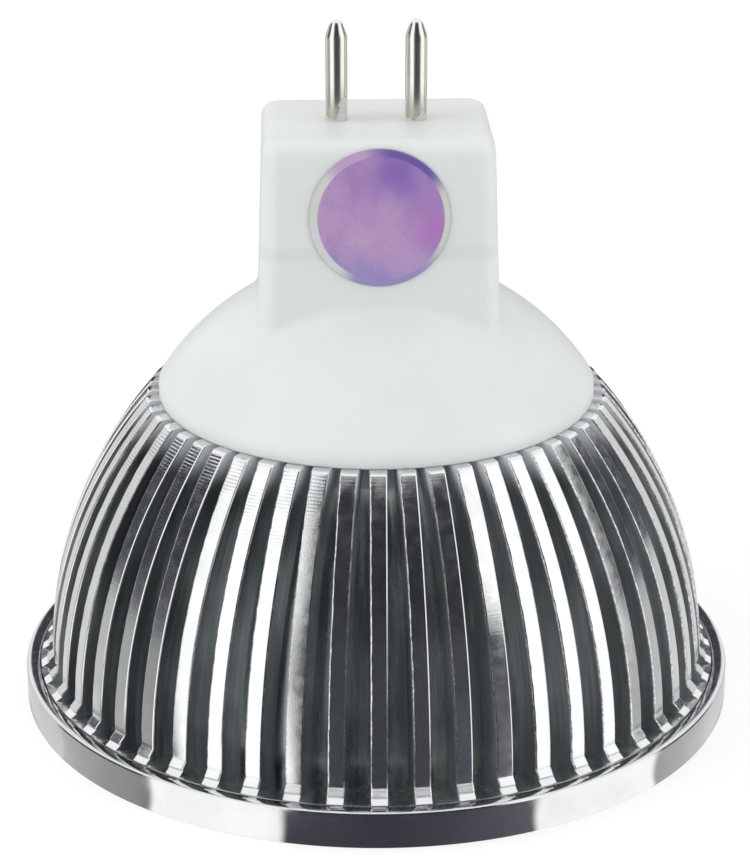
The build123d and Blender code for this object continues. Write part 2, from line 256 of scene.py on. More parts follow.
# The bowl: every wall of the heat sink follows the arc of the fins' outer edge
fin_foot_radius = flange_radius - fin_foot_ledge
fin_top_radius = dome_edge_radius + dome_ledge
foot_top = ring_height + fin_foot_height
chord_radius = fin_top_radius - fin_foot_radius
chord_height = deck - foot_top
chord = math.hypot(chord_radius, chord_height)
arc_offset = math.sqrt(fin_arc_radius**2 - chord**2 / 4) / chord
bowl_centre_radius = (fin_top_radius + fin_foot_radius) / 2 - arc_offset * chord_height
bowl_centre_height = (deck + foot_top) / 2 + arc_offset * chord_radius


def bowl_radius(height, inset):
    """Radius of the bowl at a height, on the surface that lies inset below the fins' outer edge."""
    arc_radius = fin_arc_radius - inset
    return bowl_centre_radius + math.sqrt(arc_radius**2 - (height - bowl_centre_height) ** 2)


recess_radius = bowl_radius(deck, fin_depth) - cup_wall


# Building pieces from rings of points
def add_object(name, data):
    """New object in the scene."""
    made = bpy.data.objects.new(name, data)
    bpy.context.scene.collection.objects.link(made)
    return made


def make_piece(name, points, faces, materials, slots=None, sharp_angle=34):
    """New piece of the lamp from points in millimetres, smooth apart from its sharp edges."""
    mesh = bpy.data.meshes.new(name)
    mesh.from_pydata([Vector(point) * MM for point in points], [], faces)
    for material in materials:
        mesh.materials.append(material)
    if slots:
        mesh.polygons.foreach_set("material_index", slots)
    mesh.shade_smooth()
    mesh.set_sharp_from_angle(angle=math.radians(sharp_angle))
    piece = add_object(name, mesh)
    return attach(piece, "root")


def ring_faces(low, high, columns):
    """Faces between two rings, each given by the number of its first point."""
    pairs = [(column, (column + 1) % columns) for column in range(columns)]
    return [(low + column, low + beside, high + beside, high + column) for column, beside in pairs]


def skin(rings, closed=False):
    """Points and faces of a surface over rings of equal length, capped at both ends unless closed."""
    columns = len(rings[0])
    points = [point for ring in rings for point in ring]
    faces = []
    steps = len(rings) if closed else len(rings) - 1
    for row in range(steps):
        faces += ring_faces(row * columns, (row + 1) % len(rings) * columns, columns)
    if not closed:
        last = (len(rings) - 1) * columns
        faces.append(tuple(reversed(range(columns))))
        faces.append(tuple(range(last, last + columns)))
    return points, faces


def polar(radius, turn, height):
    """Point at a distance from the lamp's axis, in a direction and at a height."""
    return radius * math.cos(turn), radius * math.sin(turn), height


def circle(radius, height, columns, centre=(0, 0)):
    """Ring of points about a vertical axis."""
    turn = 2 * math.pi / columns
    return [
        (centre[0] + radius * math.cos(i * turn), centre[1] + radius * math.sin(i * turn), height)
        for i in range(columns)
    ]


# Materials: a short way to add and link nodes
def add_node(tree, kind, inputs=None, **settings):
    """Node with its settings, and its inputs set to a value or linked to a socket."""
    made = tree.nodes.new(kind)
    for name, value in settings.items():
        setattr(made, name, value)
    for name, value in (inputs or {}).items():
        if isinstance(value, bpy.types.NodeSocket):
            tree.links.new(value, made.inputs[name])
        else:
            made.inputs[name].default_value = value
    return made


def math_node(tree, operation, first, second=0.0, third=0.5):
    """Output of a Math node."""
    inputs = {0: first, 1: second, 2: third}
    return add_node(tree, "ShaderNodeMath", inputs, operation=operation).outputs[0]


def minus(tree, first, second):
    """First value less the second."""
    return math_node(tree, "SUBTRACT", first, second)


def times(tree, first, second):
    """Product of two values."""
    return math_node(tree, "MULTIPLY", first, second)


def map_range(tree, value, low, high, to_low=0.0, to_high=1.0):
    """Value carried smoothly from one range to another."""
    inputs = {"Value": value, "From Min": low, "From Max": high, "To Min": to_low, "To Max": to_high}
    made = add_node(tree, "ShaderNodeMapRange", inputs, interpolation_type="SMOOTHSTEP")
    return made.outputs["Result"]


def place_mm(tree):
    """Place on the object in millimetres."""
    inputs = {0: add_node(tree, "ShaderNodeTexCoord").outputs["Object"], "Scale": 1 / MM}
    return add_node(tree, "ShaderNodeVectorMath", inputs, operation="SCALE").outputs[0]


def axes_of(tree, place):
    """The x, y and z of a place."""
    return list(add_node(tree, "ShaderNodeSeparateXYZ", {0: place}).outputs)


def noise_at(tree, vector, scale, detail=3.0, stretch=(1, 1, 1)):
    """Noise over a place in millimetres, from 0 to 1, with scale features to the millimetre."""
    mapping = add_node(tree, "ShaderNodeMapping", {"Vector": vector, "Scale": stretch})
    inputs = {"Vector": mapping.outputs[0], "Scale": scale, "Detail": detail}
    return add_node(tree, "ShaderNodeTexNoise", inputs).outputs["Fac"]


def line_noise(tree, height, lines_per_mm, detail=2.0):
    """Noise that changes with height alone, for turning marks."""
    inputs = {"W": height, "Scale": lines_per_mm, "Detail": detail}
    return add_node(tree, "ShaderNodeTexNoise", inputs, noise_dimensions="1D").outputs["Fac"]


def ramp(tree, factor, first, second, low=0.3, high=0.7):
    """Colour that goes from the first to the second while a factor goes from low to high."""
    made = add_node(tree, "ShaderNodeValToRGB", {"Fac": factor})
    for element, place, colour in zip(made.color_ramp.elements, (low, high), (first, second)):
        element.position = place
        element.color = (*colour, 1)
    return made.outputs["Color"]


def mix(tree, factor, first, second):
    """Mix of two colours by a factor."""
    inputs = {"Factor": factor}
    for index, value in ((6, first), (7, second)):
        inputs[index] = value if isinstance(value, bpy.types.NodeSocket) else (*value, 1)
    return add_node(tree, "ShaderNodeMix", inputs, data_type="RGBA").outputs[2]


def bump(tree, height, depth_mm, normal=None):
    """Normal from a height that runs from 0 to 1."""
    inputs = {"Height": height, "Distance": depth_mm * MM, "Strength": 1.0}
    if normal:
        inputs["Normal"] = normal
    return add_node(tree, "ShaderNodeBump", inputs).outputs["Normal"]


def start_material(name, **sockets):
    """New material, its node tree and its shader, with fixed values set on the shader's own sockets."""
    material = bpy.data.materials.new(name)
    material.use_nodes = True
    tree = material.node_tree
    shader = tree.nodes["Principled BSDF"]
    for socket, value in sockets.items():
        shader.inputs[socket.replace("_", " ")].default_value = value
    return material, tree, shader


def connect(tree, shader, **outputs):
    """Links from outputs to the shader's sockets."""
    for socket, output in outputs.items():
        tree.links.new(output, shader.inputs[socket.replace("_", " ")])


def make_turned_metal(name, dark, light, lines_per_mm, line_depth, chatter_depth=0.0):
    """Bright turned aluminium: fine rings, a fine grain, a vertical smear and chatter near the top, whose
    ripples carry painted shade.
    """
    material, tree, shader = start_material(name, Anisotropic=0.55, Anisotropic_Rotation=0.25)
    place = place_mm(tree)
    x, _, z = axes_of(tree, place)
    tangent = add_node(tree, "ShaderNodeTangent", direction_type="RADIAL", axis="Z").outputs[0]
    colour = ramp(tree, noise_at(tree, place, 0.35), dark, light)
    dullness = map_range(tree, noise_at(tree, place, 1.4), 0.3, 0.7, 0.10, 0.19)
    grain = noise_at(tree, place, grains_per_mm, detail=1.0)
    bare = map_range(tree, grain, 0.45, 0.75, 1.0, 0.95)
    normal = bump(tree, line_noise(tree, z, lines_per_mm), line_depth, bump(tree, grain, grain_depth))
    if chatter_depth:
        wave = math_node(tree, "SINE", times(tree, z, 2 * math.pi / chatter_period))
        near_top = map_range(tree, z, *chatter_heights)
        left_side = map_range(tree, x, *chatter_sides, 1.0, 0.0)
        patchy = map_range(tree, noise_at(tree, place, 0.6), 0.35, 0.6)
        amount = times(tree, times(tree, near_top, left_side), patchy)
        ripple = times(tree, wave, amount)
        normal = bump(tree, ripple, chatter_depth, normal)
        # Painted shade: the colour darkens along the chatter ripples
        colour = mix(tree, map_range(tree, ripple, 0.1, 0.9, 0.0, 0.6), colour, chatter_shade_colour)
    connect(tree, shader, Base_Color=colour, Metallic=bare, Roughness=dullness)
    connect(tree, shader, Normal=normal, Tangent=tangent)
    return material


def make_speckled(name, first, second, scale, roughness, depth, spread=0.15, **sockets):
    """Surface whose colour and height vary with a fine noise, in sharper specks for a smaller spread."""
    material, tree, shader = start_material(name, Roughness=roughness, **sockets)
    grain = noise_at(tree, place_mm(tree), scale)
    colour = ramp(tree, grain, first, second, 0.5 - spread, 0.5 + spread)
    connect(tree, shader, Base_Color=colour, Normal=bump(tree, grain, depth))
    return material


def make_bright_edge(name):
    """Clean edge of a fin, with a little unevenness along it."""
    material, tree, shader = start_material(name, Metallic=1.0)
    along = noise_at(tree, place_mm(tree), 1.2)
    colour = ramp(tree, along, (0.84, 0.85, 0.86), (0.95, 0.95, 0.95))
    connect(tree, shader, Base_Color=colour, Roughness=map_range(tree, along, 0.3, 0.7, 0.18, 0.32))
    return material


def groove_place(tree, x, y, z):
    """Place in a groove in millimetres: round the lamp, into the groove and along it."""
    squares = math_node(tree, "MULTIPLY_ADD", x, x, times(tree, y, y))
    rise = minus(tree, z, bowl_centre_height)
    arc = minus(tree, fin_arc_radius**2, times(tree, rise, rise))
    into = minus(tree, math_node(tree, "SQRT", squares), math_node(tree, "SQRT", arc))
    turn = math_node(tree, "ARCTAN2", x, y)
    round_lamp = times(tree, turn, fin_top_radius)
    return add_node(tree, "ShaderNodeCombineXYZ", {0: round_lamp, 1: into, 2: z}).outputs[0]


def make_groove_metal(name, dark, light, smooth, rough):
    """Dull aluminium in the grooves, with drag marks along them, painted light near the top, and paler
    towards +X.
    """
    material, tree, shader = start_material(name)
    place = place_mm(tree)
    x, y, z = axes_of(tree, place)
    drag = noise_at(tree, groove_place(tree, x, y, z), 2.2, stretch=(1, 1, 0.05))
    smoke = map_range(tree, noise_at(tree, place, 0.3, stretch=(1, 1, 0.4)), 0.4, 0.65, 0.0, 0.7)
    colour = mix(tree, smoke, ramp(tree, drag, dark, light, 0.35, 0.65), groove_dark)
    # Painted light: the grooves turn paler towards the top, where more light falls in
    painted_light_top = map_range(tree, math_node(tree, "ADD", z, drag), *painted_light_heights)
    colour = mix(tree, painted_light_top, colour, groove_painted_light_colour)
    dullness = map_range(tree, drag, 0.3, 0.7, smooth, rough)
    dullness = math_node(tree, "MULTIPLY_ADD", painted_light_top, 0.35, dullness)
    bare = math_node(tree, "MULTIPLY_ADD", painted_light_top, -0.6, 1.0)
    oxide = map_range(tree, x, *oxide_sides, 1.0, 0.84)
    bare = times(tree, bare, oxide)
    normal = bump(tree, drag, 0.004)
    connect(tree, shader, Base_Color=colour, Metallic=bare, Roughness=dullness, Normal=normal)
    return material


def make_plain_metal(name):
    """Aluminium of the deck, the flange and the cup."""
    material, tree, shader = start_material(name, Metallic=1.0)
    place = place_mm(tree)
    cloud = noise_at(tree, place, 0.9)
    colour = ramp(tree, cloud, (0.72, 0.74, 0.74), (0.86, 0.87, 0.87))
    dullness = map_range(tree, cloud, 0.3, 0.7, 0.20, 0.32)
    normal = bump(tree, noise_at(tree, place, 6.0), 0.002)
    connect(tree, shader, Base_Color=colour, Roughness=dullness, Normal=normal)
    return material


def make_housing_plastic(name):
    """White translucent moulding with a satin skin, a faint band of painted shade on the cap and a stain
    by the pins.
    """
    material, tree, shader = start_material(
        name,
        Roughness=0.46,
        Subsurface_Weight=0.35,
        Subsurface_Radius=(1, 1, 0.95),
        Subsurface_Scale=1.2 * MM,
    )
    place = place_mm(tree)
    _, _, z = axes_of(tree, place)
    colour = ramp(tree, noise_at(tree, place, 0.18), (0.76, 0.79, 0.78), (0.80, 0.83, 0.82))
    # Painted shade of the parts inside, seen through the wall as a band round the cap
    to_shade_band = math_node(tree, "ABSOLUTE", minus(tree, z, shade_band_height))
    shade_band = map_range(tree, to_shade_band, *shade_band_reach, 0.5, 0.0)
    colour = mix(tree, shade_band, colour, shade_band_colour)
    ends = {0: place, 1: stain_centre}
    to_stain = add_node(tree, "ShaderNodeVectorMath", ends, operation="DISTANCE").outputs["Value"]
    stain = map_range(tree, to_stain, *stain_reach, 0.9, 0.0)
    patchy = map_range(tree, noise_at(tree, place, 1.1), 0.3, 0.65)
    colour = mix(tree, times(tree, stain, patchy), colour, stain_colour)
    normal = bump(tree, noise_at(tree, place, 9.0, detail=2.0), 0.003)
    connect(tree, shader, Base_Color=colour, Normal=normal)
    return material


def make_pin_metal(name, centre, glue_height):
    """Nickel plate, drawn along the pin, darkened at its foot by painted shade that hides the cap's
    reflection, with dried glue up one side.
    """
    material, tree, shader = start_material(name)
    place = place_mm(tree)
    x, _, z = axes_of(tree, place)
    drawn = noise_at(tree, place, 5.0, stretch=(1, 1, 0.08))
    nickel = ramp(tree, drawn, (0.82, 0.815, 0.76), (0.89, 0.885, 0.83))
    ragged = minus(tree, noise_at(tree, place, 1.6), 0.5)
    side = map_range(tree, minus(tree, x, centre[0]), *glue_sides, 0.0, glue_height)
    above = minus(tree, minus(tree, z, cap_top), side)
    ragged_height = math_node(tree, "MULTIPLY_ADD", ragged, glue_ragged, above)
    glue = map_range(tree, ragged_height, glue_blur, -glue_blur)
    # Painted shade: the pin darkens near the cap, hiding its reflection of the cap
    foot_shade = map_range(tree, z, *foot_shade_heights, 0.6, 0.0)
    nickel = mix(tree, foot_shade, nickel, foot_shade_colour)
    colour = mix(tree, glue, nickel, glue_colour)
    bare = minus(tree, 1.0, glue)
    dullness = map_range(tree, glue, 0.0, 1.0, 0.24, 0.42)
    normal = bump(tree, glue, 0.03, bump(tree, drawn, 0.003))
    connect(tree, shader, Base_Color=colour, Metallic=bare, Roughness=dullness, Normal=normal)
    return material


# Heat sink: horizontal slices through fins and grooves, from the flange up to the deck
def fin_edge():
    """Radius and height along a fin's outer edge, from its stepped foot to its rounded top."""
    step_radius = fin_foot_radius + fin_step_width
    step_top = foot_top - fin_step_width
    edge = [
        (flange_radius - fin_foot_gap, ring_height),
        (step_radius, step_top - fin_step_height),
        (step_radius, step_top),
    ]
    lean = math.asin((deck - bowl_centre_height) / fin_arc_radius)
    tangent = fin_top_round * math.tan((math.pi / 2 - lean) / 2)
    arc_end = deck - tangent * math.cos(lean)
    for step in range(fin_slices + 1):
        height = foot_top + (arc_end - foot_top) * step / fin_slices
        edge.append((bowl_radius(height, 0), height))
    edge.insert(-1, (bowl_radius(arc_end - fin_top_margin, 0), arc_end - fin_top_margin))
    start_radius = edge[-1][0]
    for step in range(1, fin_top_steps + 1):
        share = step / fin_top_steps
        left = (1 - share) ** 2
        radius = left * start_radius + (1 - left) * fin_top_radius - share**2 * tangent
        edge.append((radius, left * arc_end + (1 - left) * deck))
    return edge


def fin_slice(angle, outer_radius, height):
    """Points of one fin and the groove before it, in turn: groove, wall, edge, face, edge, wall."""
    half = fin_thickness / 2
    floor_radius = bowl_radius(height, fin_depth)
    burr = noise.noise((angle * burrs_per_radian, height * burrs_per_mm, burr_seed))
    torn = fin_arris + fin_burr * burr
    across = [
        (-half, floor_radius),
        (-half, outer_radius - torn),
        (-half + edge_middle * torn, outer_radius - edge_middle * torn),
        (-half + torn, outer_radius),
        (0, outer_radius),
        (half - fin_arris, outer_radius),
        (half - edge_middle * fin_arris, outer_radius - edge_middle * fin_arris),
        (half, outer_radius - fin_arris),
        (half, floor_radius),
    ]
    half_pitch = math.pi / fin_count
    flat = floor_radius * math.cos(half_pitch)
    foot = flat / math.cos(half_pitch) - half * math.tan(half_pitch)
    wall_angle = math.atan2(half, foot)
    middle = angle - half_pitch
    quarter = (middle + angle - wall_angle) / 2
    quarter_radius = flat / math.cos(quarter - middle)
    points = [polar(flat, middle, height), polar(quarter_radius, quarter, height)]
    for side, radius in across:
        out = foot if radius == floor_radius else math.sqrt(radius**2 - side**2)
        x = out * math.cos(angle) - side * math.sin(angle)
        y = out * math.sin(angle) + side * math.cos(angle)
        points.append((x, y, height))
    points.append(polar(quarter_radius, 2 * angle - quarter, height))
    return points


# Columns of a slice, the material of the strip that starts at each, and columns of the inside
GROOVE, WALL_FOOT, FACE_MIDDLE, FAR_FOOT = 0, 2, 6, 10
FIN_COLUMNS = 12
FACE, WALL, FLOOR, BURR, EDGE, PLAIN = range(6)
STRIP_SLOTS = [FLOOR, FLOOR, WALL, BURR, BURR, FACE, FACE, EDGE, EDGE, WALL, FLOOR, FLOOR]
IN_GROOVE, IN_WALL, IN_MIDDLE, IN_FAR = range(4)
INNER_COLUMNS = 4
fin_angles = [math.radians(fin_phase + 360 / fin_count * index) for index in range(fin_count)]


def heat_sink_inside():
    """Radius and height along the inside: the recess, the wire hole, the cup and the flange."""
    floor_back = floor_front + floor_thickness
    return [
        (recess_radius, deck),
        (recess_radius, floor_back),
        (wire_hole_radius, floor_back),
        (wire_hole_radius, floor_front),
        (bowl_radius(floor_front, fin_depth + cup_wall), floor_front),
        (bowl_radius(flange_low, fin_depth + cup_wall), flange_low),
        (flange_radius, flange_low),
        (flange_radius, ring_height),
    ]


def inside_turns():
    """Directions of the inside's points: for each fin its groove, its two feet and its middle."""
    wall_angle = math.asin(fin_thickness / 2 / bowl_radius(deck, fin_depth))
    offsets = (-math.pi / fin_count, -wall_angle, 0, wall_angle)
    return [angle + offset for angle in fin_angles for offset in offsets]


def closing_faces(top, inner_top, flange):
    """Faces of the fins' tops, the deck and the flange, between rows given by their first points."""
    faces = []
    for index in range(fin_count):
        after = (index + 1) % fin_count
        fin, next_fin = index * FIN_COLUMNS, after * FIN_COLUMNS
        near, next_near = inner_top + index * INNER_COLUMNS, inner_top + after * INNER_COLUMNS
        edge, next_edge = flange + index * INNER_COLUMNS, flange + after * INNER_COLUMNS
        wall, far_wall = top + fin + WALL_FOOT, top + fin + FAR_FOOT
        faces.append(tuple(range(wall, far_wall + 1)))
        faces.append((wall, far_wall, near + IN_FAR, near + IN_MIDDLE, near + IN_WALL))
        faces.append((top + fin + GROOVE, wall - 1, wall, near + IN_WALL, near + IN_GROOVE))
        next_groove = top + next_fin + GROOVE
        faces.append((far_wall, far_wall + 1, next_groove, next_near + IN_GROOVE, near + IN_FAR))
        rim = [edge + IN_MIDDLE, edge + IN_FAR]
        rim += [next_edge + IN_GROOVE, next_edge + IN_WALL, next_edge + IN_MIDDLE]
        rim += reversed(range(next_fin + GROOVE, next_fin + FACE_MIDDLE + 1))
        rim += reversed(range(fin + FACE_MIDDLE, fin + FIN_COLUMNS))
        faces.append(tuple(rim))
    return faces


def make_heat_sink(materials):
    """Bowl with fins, closed by the deck, the recess, the wire hole, the cup and the flange."""
    rings = [[point for angle in fin_angles for point in fin_slice(angle, *step)] for step in fin_edge()]
    columns = fin_count * FIN_COLUMNS
    points = [point for ring in rings for point in ring]
    faces = []
    for row in range(len(rings) - 1):
        faces += ring_faces(row * columns, (row + 1) * columns, columns)
    slots = STRIP_SLOTS * (len(faces) // FIN_COLUMNS)
    inner_top = len(points)
    inside = heat_sink_inside()
    turns = inside_turns()
    for radius, height in inside:
        points += [polar(radius, turn, height) for turn in turns]
    around = len(turns)
    for row in range(len(inside) - 1):
        low = inner_top + row * around
        faces += ring_faces(low, low + around, around)
    faces += closing_faces(inner_top - columns, inner_top, len(points) - around)
    slots += [PLAIN] * (len(faces) - len(slots))
    piece = make_piece("heat_sink_fins", points, faces, materials, slots, sharp_angle=15)
    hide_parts("heat_sink")
    return piece


fin_face = make_turned_metal(
    "fin_face",
    dark=(0.80, 0.81, 0.83),
    light=(0.90, 0.905, 0.91),
    lines_per_mm=7.0,
    line_depth=0.0022,
    chatter_depth=0.003,
)
groove_wall = make_groove_metal(
    "groove_wall", dark=(0.42, 0.44, 0.48), light=(0.68, 0.70, 0.71), smooth=0.30, rough=0.42
)
# The green tint in the groove floor's colours is a painted reflection
groove_floor = make_groove_metal(
    "groove_floor", dark=(0.48, 0.53, 0.52), light=(0.82, 0.87, 0.83), smooth=0.18, rough=0.30
)
burred_edge = make_speckled(
    "burred_edge", (0.56, 0.57, 0.59), (0.96, 0.96, 0.96), 4.5, 0.3, 0.035, spread=0.08, Metallic=1.0
)
bright_edge = make_bright_edge("bright_edge")
plain_metal = make_plain_metal("plain_metal")
make_heat_sink([fin_face, groove_wall, groove_floor, burred_edge, bright_edge, plain_metal])


# Front ring: a turned ring with a lip under the lens
def make_ring(material):
    """Ring with an L section and broken edges."""
    bore = rim_radius - ring_wall
    lip = bore - lip_width
    small = ring_edge / 2
    middle = ring_edge * edge_middle
    section = [
        (lip + small, 0),
        (rim_radius - ring_edge, 0),
        (rim_radius - middle, middle),
        (rim_radius, ring_edge),
        (rim_radius, ring_height / 2),
        (rim_radius, ring_height - ring_edge),
        (rim_radius - middle, ring_height - middle),
        (rim_radius - ring_edge, ring_height),
        (bore + small, ring_height),
        (bore, ring_height - small),
        (bore, lip_thickness),
        (lip + small, lip_thickness),
        (lip, lip_thickness - small),
        (lip, small),
    ]
    rings = [circle(radius, height, ring_segments) for radius, height in section]
    points, faces = skin(rings, closed=True)
    piece = make_piece("front_ring", points, faces, [material], sharp_angle=50)
    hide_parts("bezel_ring")
    return piece


ring_face = make_turned_metal(
    "ring_face", dark=(0.71, 0.72, 0.74), light=(0.80, 0.805, 0.81), lines_per_mm=9.0, line_depth=0.0016
)
make_ring(ring_face)


# Base housing: dome and cap block in one skin, hollow inside
dome_centre = deck + dome_skirt - math.sqrt(dome_radius**2 - dome_edge_radius**2)
draft_slope = math.tan(math.radians(cap_draft))


def block_radius(angle, height, inset=0.0, corner=cap_corner):
    """Distance from the axis to the drafted cap block's wall, in a direction and at a height."""
    spread = (cap_top - height) * draft_slope - inset
    half_width = cap_width / 2 + spread
    half_depth = cap_depth / 2 + spread
    across, along = abs(math.cos(angle)), abs(math.sin(angle))
    if half_width * along <= (half_depth - corner) * across:
        return half_width / across
    if half_depth * across <= (half_width - corner) * along:
        return half_depth / along
    x, y = half_width - corner, half_depth - corner
    reach = across * x + along * y
    return reach + math.sqrt(reach**2 - x**2 - y**2 + corner**2)


def dome_height(radius):
    """Height of the dome at a distance from the axis."""
    return dome_centre + math.sqrt(dome_radius**2 - radius**2)


def foot_of_block(angle):
    """Height where the block's wall meets the dome, in a direction."""
    low, high = deck, cap_top
    for _ in range(foot_halvings):
        middle = (low + high) / 2
        if dome_height(block_radius(angle, middle)) > middle:
            low = middle
        else:
            high = middle
    return low


def housing_column(angle):
    """Radius and height of the housing's skin in one direction: inside, spigot, dome, block and top."""
    spigot_radius = recess_radius - recess_clearance
    bore_radius = spigot_radius - housing_wall
    bore_top = dome_height(bore_radius) - housing_wall
    ceiling = cap_top - cap_end_wall
    column = [
        (block_radius(angle, ceiling, housing_wall), ceiling),
        (block_radius(angle, bore_top, housing_wall), bore_top),
        (bore_radius, bore_top),
        (bore_radius, spigot_end),
        (spigot_radius, spigot_end),
        (spigot_radius, deck),
        (dome_edge_radius - dome_edge_round, deck),
        (dome_edge_radius, deck + dome_edge_round),
    ]
    junction = foot_of_block(angle)
    wall_foot = block_radius(angle, junction)
    blend_radius = wall_foot + cap_foot_blend * cap_foot_share
    for step in range(dome_steps + 1):
        radius = dome_edge_radius + (blend_radius - dome_edge_radius) * step / dome_steps
        column.append((radius, dome_height(radius)))
    dome_end = column[-1]
    wall_start = (block_radius(angle, junction + cap_foot_blend), junction + cap_foot_blend)
    for step in range(1, blend_steps):
        share = step / blend_steps
        weights = ((1 - share) ** 2, 2 * share * (1 - share), share**2)
        radius = weights[0] * dome_end[0] + weights[1] * wall_foot + weights[2] * wall_start[0]
        height = weights[0] * dome_end[1] + weights[1] * junction + weights[2] * wall_start[1]
        column.append((radius, height))
    wall_end = cap_top - cap_edge
    for step in range(wall_steps + 1):
        height = wall_start[1] + (wall_end - wall_start[1]) * step / wall_steps
        column.append((block_radius(angle, height), height))
    for step in range(1, cap_edge_steps + 1):
        turn = math.pi / 2 * step / cap_edge_steps
        inset = cap_edge * (1 - math.cos(turn))
        height = wall_end + cap_edge * math.sin(turn)
        corner = max(cap_corner - inset, cap_least_corner)
        column.append((block_radius(angle, height, inset, corner), height))
    column.append((cap_top_share * column[-1][0], cap_top))
    return column


def make_housing(material):
    """Dome, cap block and spigot as one closed moulding."""
    turn = 2 * math.pi / housing_columns
    angles = [index * turn for index in range(housing_columns)]
    outline = [housing_column(angle) for angle in angles]
    rings = [
        [polar(radius, angle, height) for angle, (radius, height) in zip(angles, row)]
        for row in zip(*outline)
    ]
    points, faces = skin(rings)
    piece = make_piece("white_housing", points, faces, [material], sharp_angle=40)
    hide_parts("base_housing")
    return piece


make_housing(make_housing_plastic("white_plastic"))


# Contact pins: plated pins with bullet tips
def make_pin(name, node_name, centre, material):
    """Pin with its shank in the cap's end and its tail inside."""
    radius = pin_diameter / 2
    shank = pin_shank_diameter / 2
    tip = pin_tip_diameter / 2
    end = pin_high.z
    shoulder = end - pin_tip_length
    section = [
        (radius, pin_low.z),
        (radius, cap_top - pin_boss_depth),
        (shank, cap_top - pin_boss_depth),
        (shank, cap_top - pin_shank_cover),
        (radius, cap_top - pin_shank_cover),
    ]
    section += [(radius * share, shoulder + rise) for share, rise in pin_shoulder]
    section += [(tip * share, end - depth) for share, depth in pin_nose]
    points, faces = skin([circle(r, height, pin_segments, centre) for r, height in section])
    piece = make_piece(name, points, faces, [material], sharp_angle=50)
    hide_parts(node_name)
    return piece


for side, glue_height in (("left", left_glue_height), ("right", right_glue_height)):
    pin_node = f"contact_pin_{side}"
    low_corner, high_corner = box_mm(pin_node)
    pin_centre = (low_corner + high_corner) / 2
    pin_metal = make_pin_metal(f"{side}_nickel", pin_centre, glue_height)
    make_pin(f"pin_{side}", pin_node, pin_centre, pin_metal)


# Sticker: clear film over a violet foil disc, on the block's drafted front
sticker_middle = (sticker_low + sticker_high) / 2
sticker_face_depth = -cap_depth / 2 - (cap_top - sticker_middle.z) * draft_slope
sticker_lean = Matrix.Rotation(math.radians(90 - cap_draft), 4, "X")
sticker_place = Matrix.Translation((sticker_middle.x, sticker_face_depth, sticker_middle.z)) @ sticker_lean


def distance_to(tree, across, up, centre):
    """Distance on the sticker from a point."""
    x = minus(tree, across, centre[0])
    y = minus(tree, up, centre[1])
    both = math_node(tree, "ADD", times(tree, x, x), times(tree, y, y))
    return math_node(tree, "SQRT", both)


def make_foil(name):
    """Iridescent foil: a violet disc with drifting tints, inside a clear rim with painted reflections from
    cream to deep blue.
    """
    material, tree, shader = start_material(name, Roughness=0.32, Coat_Weight=0.5, Coat_Roughness=0.06)
    place = place_mm(tree)
    x, _, z = axes_of(tree, place)
    across = minus(tree, x, sticker_middle.x)
    up = minus(tree, z, sticker_middle.z)
    drift = minus(tree, noise_at(tree, place, 0.5), 0.5)
    drift_across = math_node(tree, "MULTIPLY_ADD", drift, foil_drift[0], across)
    drift_up = math_node(tree, "MULTIPLY_ADD", drift, foil_drift[1], up)
    foil = mix(tree, map_range(tree, drift_up, *foil_blue_heights), foil_blue, foil_violet)
    cloud = map_range(tree, noise_at(tree, place, 0.33, stretch=(1, 1, 0.6)), 0.4, 0.62, 0.0, 0.7)
    foil = mix(tree, cloud, foil, foil_rose)
    for centre, radius, colour in foil_blooms:
        tint = map_range(tree, distance_to(tree, drift_across, drift_up, centre), radius, 0.0)
        foil = mix(tree, tint, foil, colour)
    grain = map_range(tree, noise_at(tree, place, 5.0), 0.35, 0.7, 0.0, 0.16)
    foil = mix(tree, grain, foil, foil_grain)
    to_middle = distance_to(tree, across, up, (0, 0))
    # Painted reflection: the clear rim's hues, from cream to deep blue, set by direction
    rim = mix(tree, noise_at(tree, place, 0.8), rim_reflection_cream, foil_clear)
    for direction, half_width, colour in rim_reflection_lobes:
        turn, reach = math.radians(direction), math.radians(half_width)
        towards = times(tree, up, math.sin(turn))
        towards = math_node(tree, "MULTIPLY_ADD", across, math.cos(turn), towards)
        aim = math_node(tree, "DIVIDE", towards, to_middle)
        rim = mix(tree, map_range(tree, aim, math.cos(reach), math.cos(reach / 3)), rim, colour)
    to_disc = distance_to(tree, across, up, foil_centre)
    disc = map_range(tree, to_disc, foil_radius + foil_blur, foil_radius - foil_blur)
    sticker_radius = sticker_diameter / 2
    cut = map_range(tree, to_middle, sticker_radius - film_edge_width, sticker_radius, 0.0, 0.6)
    colour = mix(tree, cut, mix(tree, disc, rim, foil), film_edge)
    normal = bump(tree, noise_at(tree, place, 1.5), 0.004)
    connect(tree, shader, Base_Color=colour, Normal=normal)
    return material


def make_sticker(material):
    """Thin round film with a soft cut edge."""
    radius = sticker_diameter / 2
    section = [(radius - inset, sticker_thickness * share) for inset, share in sticker_edge]
    section.append((radius / 2, sticker_thickness))
    points, faces = skin([circle(r, height, sticker_segments) for r, height in section])
    placed = [sticker_place @ Vector(point) for point in points]
    piece = make_piece("foil_sticker", placed, faces, [material])
    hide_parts("inspection_sticker")
    return piece


make_sticker(make_foil("violet_foil"))


